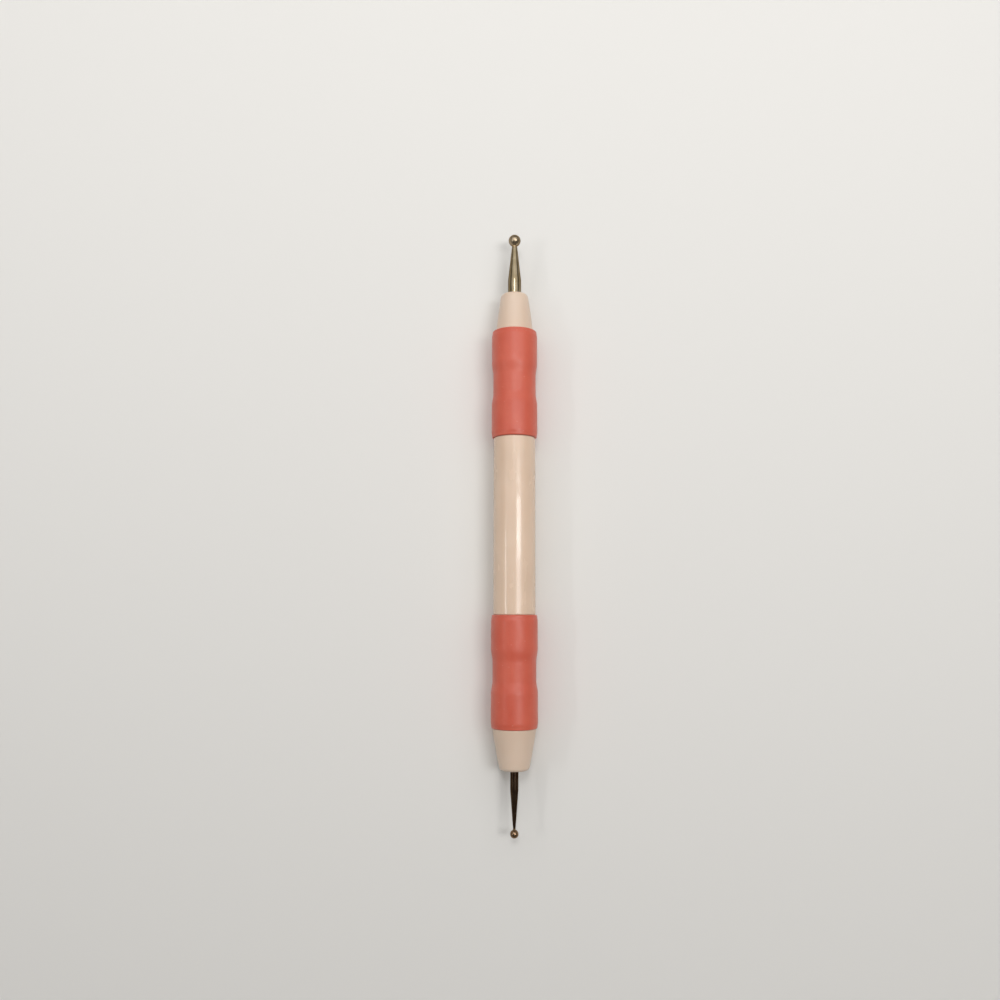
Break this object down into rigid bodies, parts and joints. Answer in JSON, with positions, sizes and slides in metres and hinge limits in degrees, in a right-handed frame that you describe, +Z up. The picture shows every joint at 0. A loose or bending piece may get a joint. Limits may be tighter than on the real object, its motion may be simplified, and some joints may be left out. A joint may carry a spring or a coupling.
{
  "type": "embossing stylus",
  "caption": "Double-ended ball stylus for embossing: a slim barrel with two soft waisted sleeve grips, tapered noses and a steel shank with a ball at each end.",
  "frame": {"origin": "on the surface that the stylus lies on, directly under the middle of its length", "axes": "+Y along the stylus towards the medium ball, +Z up, +X across it"},
  "size_m": [0.012, 0.157, 0.012],
  "materials": {
    "barrel_plastic": "warm white moulded plastic, satin gloss",
    "nose_plastic": "warm white moulded plastic, satin",
    "grip_rubber": "coral pink soft rubber, satin",
    "shank_steel": "turned steel, nickel plated",
    "ball_steel": "polished steel, nickel plated"
  },
  "bodies": {
    "root": {"barrel": "barrel_plastic", "medium_grip": "grip_rubber", "medium_nose": "nose_plastic", "medium_shank": "shank_steel", "medium_ball": "ball_steel", "small_grip": "grip_rubber", "small_nose": "nose_plastic", "small_shank": "shank_steel", "small_ball": "ball_steel"}
  },
  "joints": []
}
